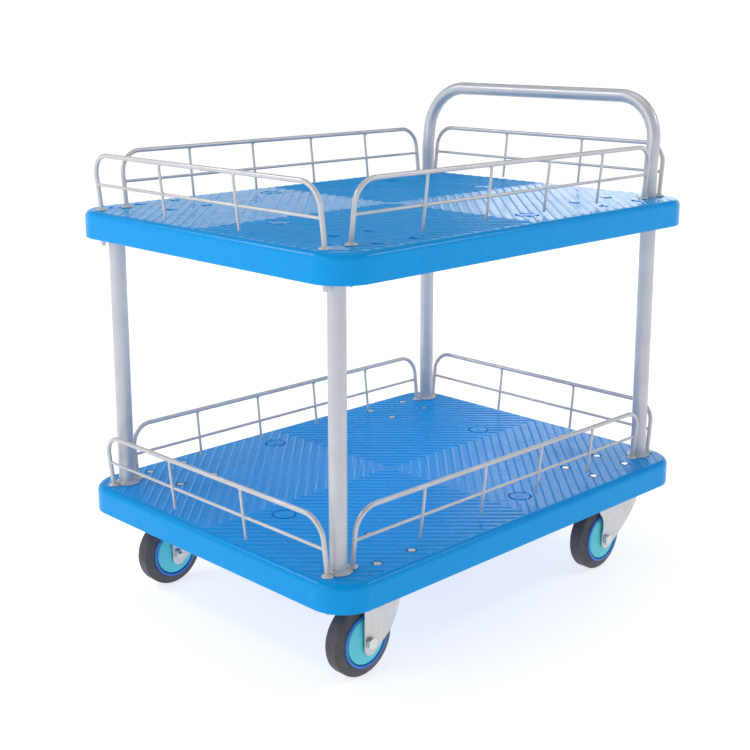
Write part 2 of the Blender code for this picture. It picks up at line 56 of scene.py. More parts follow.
POST_X, POST_Y, POST_RADIUS, POST_BORE = 0.2826, 0.399, 0.0143, 0.0131
HANDLE_RADIUS, HANDLE_TOP, HANDLE_BEND = 0.0125, 0.8915, 0.085
HANDLE_LEAN_START, HANDLE_REACH = 0.778, 0.018
RAIL_FOOT_PITCH, RAIL_FOOT_X = 0.0258, 0.2862
RAIL_HEIGHT, RAIL_LEAN, RAIL_BEND, RAIL_TUBE = 0.0975, 0.012, 0.038, 0.004
RAIL_WIRE, RAIL_MID_HEIGHT, RAIL_WIRE_GAP, RAIL_WASHER = 0.0026, 0.046, 0.005, 0.0098
RAIL_END_BELOW, RAIL_END_OVER_CASTER = 0.015, 0.006
WHEEL_RADIUS = 0.0625
RIGID_X, RIGID_PLATE_Y, RIGID_AXLE_Y, RIGID_BOLTS = 0.2548, -0.296, -0.3305, (0.0944, 0.0768)
SWIVEL_X, SWIVEL_PLATE_Y, SWIVEL_BOLTS = 0.2630, 0.2875, (0.0645, 0.099)
SWIVEL_AXIS_Y, SWIVEL_AXLE_Y = 0.3205, 0.2925
PLATE_TOP, SHEET = 0.163, 0.0028
FORK_INSIDE, FORK_SHEET = 0.0250, 0.0025
RACE_DEPTH = 0.0105
GAP = 0.0003

# ---- details that only the looks have -----------------------------------------------
RIDGE_PITCH, RIDGE_HALF, RIDGE_RISE = 0.0170, 0.0056, 0.0015
RIDGE_MARGIN, RIDGE_TAPER, RIDGE_BURIED, RIDGE_LEAST_LENGTH = 0.0122, 0.003, 0.0003, 0.02
PLUG_RADIUS, PLUG_GAP, PLUG_DEPTH = 0.0180, 0.0028, 0.0031
BOLT_RECESS, BOLT_RECESS_DEPTH, BOLT_RADIUS = 0.009, 0.0042, 0.0040
AXLE_RADIUS, AXLE_HOLE, THREAD_PITCH = 0.0048, 0.0052, 0.00125
BEYOND = 0.01
PLUG_PLACES = ((0.0416, -0.3006), (-0.0416, 0.3006), (0.2683, 0.0558), (-0.2683, -0.0558))

# The colour sockets of Blender's Mix node go by number, because its names repeat.
MIX_FACTOR, MIX_FIRST, MIX_OTHER, MIX_RESULT = 0, 6, 7, 2


# ---- materials ----------------------------------------------------------------------
class Paint:
    """A Principled material whose colour, roughness and relief come from noise nodes."""

    def __init__(self, name, colour, roughness, metallic=0.0, coat=0.0, specular=0.5):
        self.material = bpy.data.materials.new(name)
        self.material.use_nodes = True
        self.tree = self.material.node_tree
        self.shader = self.tree.nodes["Principled BSDF"]
        self.colour = (*colour, 1.0)
        self.set("Base Color", self.colour)
        self.set("Roughness", roughness)
        self.set("Metallic", metallic)
        self.set("Coat Weight", coat)
        self.set("Specular IOR Level", specular)
        self.coords = self.node("ShaderNodeTexCoord").outputs["Object"]
        self.relief = None

    def set(self, socket, value):
        self.shader.inputs[socket].default_value = value

    def node(self, kind, **inputs):
        made = self.tree.nodes.new(kind)
        for key, value in inputs.items():
            made.inputs[key].default_value = value
        return made

    def link(self, output, target):
        self.tree.links.new(output, target)

    def noise(self, scale, detail=2.0, stretch=None, rough=0.5):
        made = self.node("ShaderNodeTexNoise", Scale=scale, Detail=detail, Roughness=rough)
        source = self.coords
        if stretch:
            mapping = self.node("ShaderNodeMapping", Scale=stretch)
            self.link(self.coords, mapping.inputs["Vector"])
            source = mapping.outputs["Vector"]
        self.link(source, made.inputs["Vector"])
        return made.outputs["Fac"]

    def spread(self, source, low, high, start=0.35, end=0.65):
        made = self.node("ShaderNodeMapRange")
        for key, value in (("From Min", start), ("From Max", end), ("To Min", low), ("To Max", high)):
            made.inputs[key].default_value = value
        self.link(source, made.inputs["Value"])
        return made.outputs["Result"]

    def mottle(self, other, source, low=0.0, high=1.0, start=0.35, end=0.65):
        """Blend the colour towards another one where the source is high."""
        mix = self.node("ShaderNodeMix")
        mix.data_type = "RGBA"
        previous = self.shader.inputs["Base Color"]
        if previous.is_linked:
            self.link(previous.links[0].from_socket, mix.inputs[MIX_FIRST])
        else:
            mix.inputs[MIX_FIRST].default_value = self.colour
        mix.inputs[MIX_OTHER].default_value = (*other, 1.0)
        self.link(self.spread(source, low, high, start, end), mix.inputs[MIX_FACTOR])
        self.link(mix.outputs[MIX_RESULT], previous)

    def vary(self, source, low, high):
        self.link(self.spread(source, low, high), self.shader.inputs["Roughness"])

    def bump(self, source, distance, strength=1.0):
        made = self.node("ShaderNodeBump", Distance=distance, Strength=strength)
        self.link(source, made.inputs["Height"])
        if self.relief:
            self.link(self.relief, made.inputs["Normal"])
        self.relief = made.outputs["Normal"]
        self.link(self.relief, self.shader.inputs["Normal"])


def deck_paint():
    made = Paint("moulded_blue", (0.0018, 0.312, 0.765), 0.25, specular=0.12)
    made.mottle((0.0026, 0.295, 0.745), made.noise(9.0, 3.0), 0.0, 0.55)
    made.mottle((0.0060, 0.345, 0.800), made.noise(60.0, 3.0, (1.0, 1.0, 0.3)), 0.0, 0.30)
    made.vary(made.noise(38.0, 3.0), 0.22, 0.28)
    made.bump(made.noise(900.0, 2.0), 0.00003, 0.4)
    made.bump(made.noise(6.0, 1.0), 0.0003, 0.08)
    return made.material


def silver_paint(name, colour, metallic):
    made = Paint(name, colour, 0.36, metallic=metallic, coat=0.15)
    made.set("Coat Roughness", 0.25)
    made.mottle([value + 0.07 for value in colour], made.noise(2600.0, 1.0), 0.0, 0.6)
    made.mottle([value - 0.08 for value in colour], made.noise(24.0, 3.0), 0.0, 0.35)
    made.vary(made.noise(30.0, 3.0), 0.32, 0.44)
    made.bump(made.noise(900.0, 2.0), 0.00006, 0.6)
    return made.material


def zinc_paint():
    made = Paint("zinc_plated_sheet", (0.62, 0.62, 0.62), 0.36, metallic=0.75)
    made.mottle((0.64, 0.58, 0.50), made.noise(26.0, 4.0), 0.0, 0.55)
    made.mottle((0.48, 0.54, 0.62), made.noise(33.0, 3.0, (1.3, 0.8, 1.0)), 0.0, 0.45)
    made.mottle((0.74, 0.74, 0.74), made.noise(420.0, 3.0, (1.0, 1.0, 0.12)), 0.0, 0.5)
    made.vary(made.noise(70.0, 5.0), 0.30, 0.50)
    made.bump(made.noise(600.0, 3.0, (1.0, 1.0, 0.2)), 0.00006, 0.6)
    return made.material


def bright_paint():
    made = Paint("bright_zinc", (0.74, 0.74, 0.72), 0.24, metallic=0.9)
    made.mottle((0.60, 0.57, 0.50), made.noise(300.0, 3.0), 0.0, 0.4)
    made.vary(made.noise(400.0, 3.0), 0.18, 0.34)
    made.bump(made.noise(1500.0, 2.0), 0.00004, 0.5)
    return made.material


def tyre_paint():
    made = Paint("tyre_rubber_grey", (0.066, 0.065, 0.080), 0.52, specular=0.42)
    made.mottle((0.100, 0.094, 0.108), made.noise(60.0, 5.0), 0.0, 0.6)
    made.mottle((0.050, 0.047, 0.058), made.noise(300.0, 4.0), 0.0, 0.5)
    made.vary(made.noise(90.0, 4.0), 0.46, 0.68)
    made.bump(made.noise(1400.0, 3.0), 0.00010, 0.6)
    return made.material


def plastic_paint(name, colour, deeper, roughness):
    made = Paint(name, colour, roughness, coat=0.2)
    made.set("Coat Roughness", 0.15)
    made.mottle(deeper, made.noise(55.0, 3.0), 0.0, 0.5)
    made.vary(made.noise(120.0, 4.0), roughness - 0.06, roughness + 0.08)
    made.bump(made.noise(1800.0, 2.0), 0.00005, 0.5)
    return made.material


PAINTS = {
    "deck_plastic": deck_paint(),
    "powder_silver": silver_paint("powder_silver_coat", (0.530, 0.548, 0.585), 0.32),
    "zinc_steel": zinc_paint(),
    "bright_steel": bright_paint(),
    "tyre_rubber": tyre_paint(),
    "rim_plastic": plastic_paint("rim_blue", (0.008, 0.185, 0.640), (0.006, 0.150, 0.560), 0.36),
    "cap_plastic": plastic_paint("cap_turquoise", (0.080, 0.620, 0.710), (0.065, 0.560, 0.665), 0.34),
}
RAIL_PAINT = silver_paint("powder_silver_wire", (0.570, 0.568, 0.582), 0.30)


# ---- mesh helpers -------------------------------------------------------------------
def mesh_of(work):
    bmesh.ops.recalc_face_normals(work, faces=work.faces)
    mesh = bpy.data.meshes.new("mesh")
    work.to_mesh(mesh)
    work.free()
    return mesh


def loose(mesh):
    item = bpy.data.objects.new("shape", mesh)
    bpy.context.scene.collection.objects.link(item)
    return item


def settle(item):
    """Replace an object's mesh with what its modifiers make of it."""
    bpy.context.view_layer.update()
    graph = bpy.context.evaluated_depsgraph_get()
    mesh = bpy.data.meshes.new_from_object(item.evaluated_get(graph))
    item.modifiers.clear()
    item.data = mesh
    return item


def boolean(item, mesh, operation="DIFFERENCE"):
    other = loose(mesh)
    step = item.modifiers.new("cut", "BOOLEAN")
    step.operation, step.solver, step.object = operation, "EXACT", other
    settle(item)
    bpy.data.objects.remove(other, do_unlink=True)
    return item


def soften(item, width, segments=2, angle=35.0):
    step = item.modifiers.new("soft_edges", "BEVEL")
    step.width, step.segments, step.limit_method = width, segments, "ANGLE"
    step.angle_limit = math.radians(angle)
    return settle(item)


def finish_piece(item, name, body, slot, nodes=(), sharp=35.0, weighted=True, paint=None):
    """Name, shade and paint a piece with its slot's paint or the one given, put it on its body, and hide the
    CAD nodes it stands for.
    """
    item.name = item.data.name = name
    item.data.shade_smooth()
    item.data.set_sharp_from_angle(angle=math.radians(sharp))
    if weighted:
        step = item.modifiers.new("flat_faces", "WEIGHTED_NORMAL")
        step.keep_sharp = True
        settle(item)
    item.data.materials.clear()
    item.data.materials.append(paint or PAINTS[slot])
    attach(item, body)
    if nodes:
        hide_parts(*nodes)
    return item


def merge(items):
    """One object from several objects and meshes, just put together."""
    work = bmesh.new()
    for item in items:
        if isinstance(item, bpy.types.Object):
            work.from_mesh(item.data)
            bpy.data.objects.remove(item, do_unlink=True)
        else:
            work.from_mesh(item)
    mesh = bpy.data.meshes.new("mesh")
    work.to_mesh(mesh)
    work.free()
    return loose(mesh)


def merge_meshes(meshes):
    work = bmesh.new()
    for mesh in meshes:
        work.from_mesh(mesh)
    return mesh_of(work)


def placed(mesh, matrix):
    copy = mesh.copy()
    copy.transform(matrix)
    return copy


def rod_mesh(start, end, radius, sides=24):
    start, end = Vector(start), Vector(end)
    work = bmesh.new()
    turn = (end - start).to_track_quat("Z", "Y").to_matrix().to_4x4()
    bmesh.ops.create_cone(work, cap_ends=True, segments=sides, radius1=radius, radius2=radius,
                          depth=(end - start).length,
                          matrix=Matrix.Translation((start + end) / 2) @ turn)
    return mesh_of(work)


def boxes_mesh(boxes):
    work = bmesh.new()
    for low, high in boxes:
        low, high = Vector(low), Vector(high)
        fit = Matrix.Translation((low + high) / 2) @ Matrix.Diagonal((*(high - low), 1.0))
        bmesh.ops.create_cube(work, size=1.0, matrix=fit)
    return mesh_of(work)


def loft(loops):
    """Skin equal loops of points, one after the other, and cap both ends."""
    work = bmesh.new()
    rings = [[work.verts.new(point) for point in loop] for loop in loops]
    for low, high in zip(rings, rings[1:]):
        for i in range(len(low)):
            j = (i + 1) % len(low)
            work.faces.new((low[i], low[j], high[j], high[i]))
    work.faces.new(rings[0])
    work.faces.new(rings[-1])
    return mesh_of(work)


def turned(profile, sides=64):
    """Turn (radius, height) points about Z. A profile that starts and ends on the axis is
    solid; any other is closed into a ring."""
    work = bmesh.new()
    solid = profile[0][0] == 0.0 and profile[-1][0] == 0.0
    inner = profile[1:-1] if solid else profile
    rings = []
    for radius, height in inner:
        rings.append([work.verts.new((radius * math.cos(2 * math.pi * i / sides),
                                      radius * math.sin(2 * math.pi * i / sides), height))
                      for i in range(sides)])
    pairs = list(zip(rings, rings[1:])) + ([] if solid else [(rings[-1], rings[0])])
    for low, high in pairs:
        for i in range(sides):
            j = (i + 1) % sides
            work.faces.new((low[i], low[j], high[j], high[i]))
    if solid:
        for ring, (_, height) in ((rings[0], profile[0]), (rings[-1], profile[-1])):
            tip = work.verts.new((0.0, 0.0, height))
            for i in range(sides):
                work.faces.new((ring[i], ring[(i + 1) % sides], tip))
    return mesh_of(work)


def hexagon(across, low, high, bore=0.0, chamfer=0.0008):
    """A hexagon head or nut with its corners turned off, across its flats, along Z."""
    radius = across / 2 / math.cos(math.pi / 6)
    work = bmesh.new()
    bmesh.ops.create_cone(work, cap_ends=True, segments=6, radius1=radius, radius2=radius,
                          depth=high - low, matrix=Matrix.Translation((0, 0, (low + high) / 2)))
    item = loose(mesh_of(work))
    cone = [(0.0, low - 0.001), (across / 2 + 0.0001, low - 0.001), (across / 2 + 0.0001, low),
            (radius + 0.0006, low + chamfer), (radius + 0.0006, high - chamfer),
            (across / 2 - 0.0002, high), (across / 2 - 0.0002, high + 0.001), (0.0, high + 0.001)]
    boolean(item, turned(cone, 48), "INTERSECT")
    if bore:
        boolean(item, rod_mesh((0, 0, low - 0.01), (0, 0, high + 0.01), bore, 24))
    mesh = item.data
    bpy.data.objects.remove(item, do_unlink=True)
    return mesh


def threaded(radius, low, high, pitch=THREAD_PITCH, point=0.0006):
    """A threaded end as stacked grooves, with a chamfered tip at its low end."""
    profile = [(0.0, high), (radius, high)]
    height = high
    while height - pitch > low + point:
        profile += [(radius, height - pitch * 0.15), (radius * 0.87, height - pitch * 0.55),
                    (radius, height - pitch * 0.95)]
        height -= pitch
    profile += [(radius, low + point), (radius - point, low), (0.0, low)]
    return turned(profile, 24)


def rounded_rectangle(half_x, half_y, corner, height, steps=14):
    points = []
    for sign_x, sign_y, start in ((1, 1, 0), (-1, 1, 90), (-1, -1, 180), (1, -1, 270)):
        cx, cy = sign_x * (half_x - corner), sign_y * (half_y - corner)
        for i in range(steps + 1):
            angle = math.radians(start + 90.0 * i / steps)
            points.append((cx + corner * math.cos(angle), cy + corner * math.sin(angle), height))
    return points


def arc(centre, radius, start, end, steps):
    return [(centre[0] + radius * math.cos(math.radians(start + (end - start) * i / steps)),
             centre[1] + radius * math.sin(math.radians(start + (end - start) * i / steps)))
            for i in range(steps + 1)]


def pipe(points, radius, sides=24, round_ends=False):
    """A round bar whose centre follows the points, with flat or rounded ends."""
    points = [Vector(p) for p in points]
    rings, normal = [], None
    for i, point in enumerate(points):
        before = points[max(i - 1, 0)]
        after = points[min(i + 1, len(points) - 1)]
        first = (point - before).normalized() if i else (after - point).normalized()
        second = (after - point).normalized() if i < len(points) - 1 else first
        along = (first + second).normalized()
        if normal is None:
            normal = along.orthogonal().normalized()
        normal = (normal - along * normal.dot(along)).normalized()
        other = along.cross(normal)
        ring = []
        for k in range(sides):
            angle = 2 * math.pi * k / sides
            ring.append(point + (normal * math.cos(angle) + other * math.sin(angle)) * radius)
        rings.append((point, ring, along))
    loops = [ring for _, ring, _ in rings]
    if round_ends:
        def dome(centre, ring, way):
            made = []
            for share in (0.45, 0.8, 0.97):
                shift = way * radius * share
                scale = math.sqrt(max(0.0, 1 - share * share))
                made.append([centre + shift + (p - centre) * scale for p in ring])
            return made
        start, end = rings[0], rings[-1]
        loops = (list(reversed(dome(start[0], start[1], -start[2]))) + loops
                 + dome(end[0], end[1], end[2]))
    return loft(loops)


# ---- decks --------------------------------------------------------------------------
def bolt_places():
    for side in (-1, 1):
        yield from bolt_square(side * RIGID_X, RIGID_PLATE_Y, RIGID_BOLTS)
        yield from bolt_square(side * SWIVEL_X, SWIVEL_PLATE_Y, SWIVEL_BOLTS)


def corner_signs():
    return [(x, y) for x in (-1, 1) for y in (-1, 1)]


def bolt_square(x, y, pitches):
    return [(x + sx * pitches[0] / 2, y + sy * pitches[1] / 2) for sx, sy in corner_signs()]


def rail_feet():
    for side_x, side_y in corner_signs():
        for step in (-1, 1):
            yield side_x * RAIL_FOOT_X, side_y * (POST_Y + step * RAIL_FOOT_PITCH)


def caster_areas():
    for side in (-1, 1):
        x = side * RIGID_X
        yield (x - 0.061, RIGID_PLATE_Y - 0.054), (x + 0.061, RIGID_PLATE_Y + 0.054)
        x = side * SWIVEL_X
        yield (x - 0.049, SWIVEL_PLATE_Y - 0.065), (x + 0.049, SWIVEL_PLATE_Y + 0.065)


def ridges(top):
    """Concentric diamonds of low round ridges over the deck, joined at the centre lines."""
    half_x, half_y = DECK_X - RIDGE_MARGIN, DECK_Y - RIDGE_MARGIN
    corner = DECK_CORNER - RIDGE_MARGIN
    across = [k / 4.0 for k in range(-4, 5)]
    work = bmesh.new()

    def edge_point(total, along_y):
        """Where |x| + |y| = total meets the outline, on the y or x side, and if it is outer."""
        reach, other = (half_y, half_x) if along_y else (half_x, half_y)
        if total <= reach:
            return 0.0, total, False
        small = total - reach
        if small > other - corner:
            q = total - (half_x - corner) - (half_y - corner)
            room = 2 * corner * corner - q * q
            if room <= 0:
                return None
            large = (q + math.sqrt(room)) / 2 + reach - corner
            return total - large, large, True
        return max(small, 0.0004), reach, True

    for number in itertools.count(1):
        spine = RIDGE_PITCH * (number + 0.1)
        lines = []
        centre_y, centre_x = (edge_point(spine * math.sqrt(2), flag) for flag in (True, False))
        if centre_y is None or centre_x is None or centre_x[1] - centre_y[0] < RIDGE_LEAST_LENGTH:
            break
        for share in across:
            total = (spine + share * RIDGE_HALF) * math.sqrt(2)
            start, end = edge_point(total, True), edge_point(total, False)
            if start is None or end is None:
                lines = None
                break
            rise = RIDGE_RISE * (0.5 + 0.5 * math.cos(math.pi * share)) - RIDGE_BURIED
            first, last = Vector((start[0], start[1], top)), Vector((end[1], end[0], top))
            if centre_y[2]:
                first.x = max(first.x, 0.0004)
                first.y = min(first.y, total - first.x)
            if centre_x[2]:
                last.y = max(last.y, 0.0004)
                last.x = min(last.x, total - last.y)
            step = (last - first).normalized() * RIDGE_TAPER
            foot = Vector((0, 0, rise * 0.15 - 0.0002))
            points = []
            if centre_y[2]:
                points.append(first + foot)
                first = first + step
            points.append(first + Vector((0, 0, rise)))
            if centre_x[2]:
                points.append(last - step + Vector((0, 0, rise)))
                points.append(last + foot)
            else:
                points.append(last + Vector((0, 0, rise)))
            lines.append(points)
        if lines is None:
            break
        for flip_x, flip_y in corner_signs():
            grid = [[work.verts.new((p.x * flip_x, p.y * flip_y, p.z)) for p in line]
                    for line in lines]
            for line, follow in zip(grid, grid[1:] + grid[:1]):
                for k in range(len(line) - 1):
                    work.faces.new((line[k], line[k + 1], follow[k + 1], follow[k]))
            if centre_y[2]:
                work.faces.new([line[0] for line in grid])
            if centre_x[2]:
                work.faces.new([line[-1] for line in grid])
    bmesh.ops.remove_doubles(work, verts=work.verts, dist=0.00002)
    return mesh_of(work)


def recess_cutter(x, y, top, radius, depth, chamfer=0.0009, sides=36):
    shape = turned([(0.0, top - depth), (radius, top - depth), (radius, top - chamfer),
                    (radius + chamfer, top), (radius + chamfer, top + 0.01), (0.0, top + 0.01)], sides)
    shape.transform(Matrix.Translation((x, y, 0.0)))
    return shape


def hollow():
    """What is scooped out of a deck from below: its inside, less the ribs and pads."""
    inner = [rounded_rectangle(DECK_X - DECK_WALL, DECK_Y - DECK_WALL, DECK_CORNER - DECK_WALL, z)
             for z in (-0.002, DECK_DEPTH - DECK_WALL)]
    scoop = loose(loft(inner))
    low, high, rib = -BEYOND, DECK_DEPTH + 0.002, 0.0015
    far_x, far_y = DECK_X + BEYOND, DECK_Y + BEYOND
    pitch_x, pitch_y = (2 * DECK_X - DECK_WALL) / 8, (2 * DECK_Y - DECK_WALL) / 10
    ribs_x = [i * pitch_x for i in range(-3, 4)]
    ribs_y = [i * pitch_y for i in range(-4, 5)]
    boolean(scoop, boxes_mesh([((x - rib, -far_y, low), (x + rib, far_y, high)) for x in ribs_x]))
    boolean(scoop, boxes_mesh([((-far_x, y - rib, low), (far_x, y + rib, high)) for y in ribs_y]))
    boolean(scoop, boxes_mesh([((*a, low), (*b, high)) for a, b in caster_areas()]))
    posts = [(x * POST_X, y * POST_Y) for x, y in corner_signs()]
    boolean(scoop, boxes_mesh([((x - 0.024, y - 0.037, low), (x + 0.024, y + 0.037, high))
                               for x, y in posts]))
    mesh = scoop.data
    bpy.data.objects.remove(scoop, do_unlink=True)
    return mesh


def deck(level, scoop):
    """A deck: its shell and ribs, the recesses and holes in it, and its ridges."""
    bottom = DECK_BOTTOMS[level]
    top = bottom + DECK_DEPTH
    loops = [rounded_rectangle(DECK_X - 0.0010, DECK_Y - 0.0010, DECK_CORNER, bottom),
             rounded_rectangle(DECK_X, DECK_Y, DECK_CORNER, bottom + 0.0010)]
    for inset, height in arc((DECK_EDGE, top - DECK_EDGE), DECK_EDGE, 180.0, 90.0, 7):
        loops.append(rounded_rectangle(DECK_X - inset, DECK_Y - inset, DECK_CORNER - inset, height))
    body = loose(loft(loops))
    boolean(body, placed(scoop, Matrix.Translation((0, 0, bottom))))
    seat = bottom + PLATE_TOP - DECK_BOTTOMS["lower"] + GAP
    boolean(body, boxes_mesh([((*a, bottom - BEYOND), (*b, seat)) for a, b in caster_areas()]))
    under, over = bottom - BEYOND, top + BEYOND
    cutters = [recess_cutter(x, y, top, BOLT_RECESS, BOLT_RECESS_DEPTH) for x, y in bolt_places()]
    cutters += [recess_cutter(x, y, top, PLUG_RADIUS + PLUG_GAP, PLUG_DEPTH, 0.0008, 48)
                for x, y in PLUG_PLACES]
    cutters += [rod_mesh((x, y, under), (x, y, over), RAIL_TUBE + 0.0005, 16) for x, y in rail_feet()]
    low, high = (under, bottom + 0.030) if level == "upper" else (top - 0.030, over)
    for side_x, side_y in corner_signs():
        x, y = side_x * POST_X, side_y * POST_Y
        cutters.append(rod_mesh((x, y, low), (x, y, high), POST_RADIUS + 0.0004, 48))
    boolean(body, merge_meshes(cutters))
    if level == "upper":
        shafts = []
        for x in (-POST_X, POST_X):
            shafts.append(recess_cutter(x, POST_Y, top, HANDLE_RADIUS + 0.0006, 0.030, 0.0012, 48))
            shafts.append(recess_cutter(x, -POST_Y, top, 0.0168, 0.003, 0.0006, 48))
        boolean(body, merge_meshes(shafts))
    else:
        boolean(body, merge_meshes([rod_mesh((x, y, under), (x, y, top - 0.002), 0.0045, 16)
                                    for x, y in bolt_places()]))
    tread = loose(ridges(top))
    clear = [(x, y, 0.0102) for x, y in bolt_places()]
    clear += [(x, y, PLUG_RADIUS + PLUG_GAP + 0.0008) for x, y in PLUG_PLACES]
    clear += [(x * POST_X, y * POST_Y, 0.0245) for x, y in corner_signs()]
    low = top - BEYOND
    boolean(tread, merge_meshes([rod_mesh((x, y, low), (x, y, over), radius, 32)
                                 for x, y, radius in clear]))
    boolean(tread, merge_meshes([rod_mesh((x, y, low), (x, y, over), 0.0104, 24)
                                 for x, y in rail_feet()]))
    finish_piece(merge([body, tread]), level + "_deck_moulding", "cart_frame", "deck_plastic",
                 (level + "_deck",), 28.0)


def deck_plugs():
    """Round plugs seated in the decks, each with a rim, a dished face and a finger slot."""
    r = PLUG_RADIUS
    face = [(0.0, -0.0025), (r - 0.0004, -0.0025), (r, -0.0021), (r, 0.0002), (r - 0.0007, 0.0009),
            (r - 0.0022, 0.0009), (r - 0.0030, 0.0002), (0.0085, 0.0002), (0.0078, 0.0007), (0.0, 0.0007)]
    for level, bottom in DECK_BOTTOMS.items():
        meshes = []
        for index, (x, y) in enumerate(PLUG_PLACES):
            item = loose(turned(face, 56))
            boolean(item, boxes_mesh([((-0.0055, -0.0009, 0.0), (0.0055, 0.0009, 0.002))]))
            meshes.append(placed(item.data, Matrix.Translation((x, y, bottom + DECK_DEPTH))
                                 @ Matrix.Rotation(math.radians(45.0 + 90.0 * (index % 2)), 4, "Z")))
            bpy.data.objects.remove(item, do_unlink=True)
        finish_piece(merge(meshes), level + "_deck_plugs", "cart_frame", "deck_plastic")


# ---- posts, flanges, caps, handle ---------------------------------------------------
def corner_name(side_x, side_y):
    return ("rear" if side_y > 0 else "front"), ("right" if side_x > 0 else "left")


def posts():
    low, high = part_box("front_post_left")
    edge = 0.0004
    ring = [(POST_RADIUS, high.z - edge), (POST_RADIUS - edge, high.z), (POST_BORE + edge, high.z),
            (POST_BORE, high.z - edge), (POST_BORE, low.z + edge), (POST_BORE + edge, low.z),
            (POST_RADIUS - edge, low.z), (POST_RADIUS, low.z + edge)]
    for side_x, side_y in corner_signs():
        end, side = corner_name(side_x, side_y)
        mesh = placed(turned(ring, 64), Matrix.Translation((side_x * POST_X, side_y * POST_Y, 0)))
        finish_piece(loose(mesh), f"{end}_post_tube_{side}", "cart_frame", "powder_silver",
                     (f"{end}_post_{side}",))


def post_flanges():
    top = DECK_BOTTOMS["lower"] + DECK_DEPTH
    bore = POST_RADIUS + 0.0003
    ring = [(bore, 0.0003), (0.0215, 0.0003), (0.0220, 0.0008), (0.0220, 0.0018), (0.0212, 0.0025),
            (0.0175, 0.0028), (0.0160, 0.0034), (bore + 0.0004, 0.0050), (bore, 0.0048)]
    for side_x, side_y in corner_signs():
        end, side = corner_name(side_x, side_y)
        fit = Matrix.Translation((side_x * POST_X, side_y * POST_Y, top))
        item = loose(placed(turned(ring, 64), fit))
        x = side_x * RAIL_FOOT_X
        foot_ys = [side_y * POST_Y + step * RAIL_FOOT_PITCH for step in (-1, 1)]
        boolean(item, merge_meshes([rod_mesh((x, y, top - BEYOND), (x, y, top + 2 * BEYOND),
                                             RAIL_WASHER + 0.0003, 32) for y in foot_ys]))
        finish_piece(item, f"{end}_post_collar_{side}", "cart_frame", "powder_silver",
                     (f"{end}_post_flange_{side}",))


def post_caps():
    top = DECK_BOTTOMS["upper"] + DECK_DEPTH
    profile = [(0.0, top - 0.0006), (0.0080, top - 0.0006), (0.0100, top - 0.0004), (0.0150, top - 0.0004),
               (0.0160, top - 0.0009), (0.0164, top - 0.0018), (0.0164, top - 0.0027), (0.0088, top - 0.0027),
               (0.0088, top - 0.0260), (0.0078, top - 0.0270), (0.0, top - 0.0270)]
    for side, word in ((-1, "left"), (1, "right")):
        mesh = placed(turned(profile, 48), Matrix.Translation((side * POST_X, -POST_Y, 0)))
        finish_piece(loose(mesh), f"post_end_cap_{word}", "cart_frame", "deck_plastic",
                     (f"post_cap_{word}",))


def handle():
    """The push handle: upright in the posts, then leaning back a little up to its bends."""
    low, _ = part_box("push_handle")
    rise = HANDLE_TOP - HANDLE_LEAN_START
    slope = math.hypot(rise, HANDLE_REACH)
    half = [(POST_X, POST_Y, low.z), (POST_X, POST_Y, low.z + 0.0005)]
    lean, steps = math.atan2(HANDLE_REACH, rise), 6
    for k in range(steps + 1):
        out = 0.1 * (1 - math.cos(lean * k / steps))
        half.append((POST_X, POST_Y + out, HANDLE_LEAN_START - 0.016 + 0.0025 * k))
    for x, along in arc((POST_X - HANDLE_BEND, slope - HANDLE_BEND), HANDLE_BEND, 0.0, 90.0, 22):
        share = along / slope
        half.append((x, POST_Y + HANDLE_REACH * share, HANDLE_LEAN_START + rise * share))
    points = half + [(-x, y, z) for x, y, z in reversed(half)]
    finish_piece(loose(pipe(points, HANDLE_RADIUS, 48)), "push_handle_tube", "cart_frame", "powder_silver",
                 ("push_handle",), 50.0)


# ---- guard rails --------------------------------------------------------------------
def rail_mesh(reach, wires, below):
    """A guard rail along Y standing on z = 0 and leaning towards +X."""
    slope = math.hypot(RAIL_HEIGHT, RAIL_LEAN)

    def lean(y, along, out=0.0):
        return (RAIL_LEAN * along / slope + out, y, RAIL_HEIGHT * along / slope)

    half = [(0.0, reach, RAIL_TUBE - DECK_DEPTH - below), (0.0, reach, 0.001), (0.0004, reach, 0.004)]
    bend = arc((reach - RAIL_BEND, slope - RAIL_BEND), RAIL_BEND, 0, 90, 14)
    half += [lean(y, along) for y, along in bend]
    meshes = [pipe(half + [(x, -y, z) for x, y, z in reversed(half)], RAIL_TUBE, 20, True)]
    end = reach - RAIL_TUBE * 0.6
    meshes.append(pipe([lean(-end, RAIL_MID_HEIGHT), lean(end, RAIL_MID_HEIGHT)], RAIL_WIRE, 16, True))
    for side in (-1, 1):
        joint = lean(side * (reach - RAIL_TUBE * 0.9), RAIL_MID_HEIGHT)
        meshes.append(bead(joint, (0.0033, 0.0026, 0.0033)))
    for index in range(wires):
        y = (index + 1) * 2 * reach / (wires + 1) - reach
        wire = RAIL_WIRE * 0.92
        line = [lean(y, RAIL_WIRE_GAP + wire, 0.0022), lean(y, RAIL_MID_HEIGHT, 0.0022),
                lean(y, slope - 0.012, 0.0020), lean(y, slope - 0.001, 0.0004)]
        meshes.append(pipe(line, wire, 14, True))
        meshes.append(bead(lean(y, RAIL_MID_HEIGHT, 0.0012), (0.0032, 0.0042, 0.0036)))
        meshes.append(bead(lean(y, slope - RAIL_TUBE * 0.95, 0.0005), (0.0034, 0.0042, 0.0024)))
    hole = RAIL_TUBE + 0.0002
    washer = turned([(hole, 0.0004), (0.0094, 0.0004), (RAIL_WASHER, 0.0009), (0.0097, 0.0017),
                     (0.0086, 0.0026), (0.0060, 0.0034), (0.0050, 0.0044), (hole, 0.0048)], 36)
    for y in (-reach, reach):
        meshes.append(placed(washer, Matrix.Translation((0, y, 0))))
    return merge_meshes(meshes)


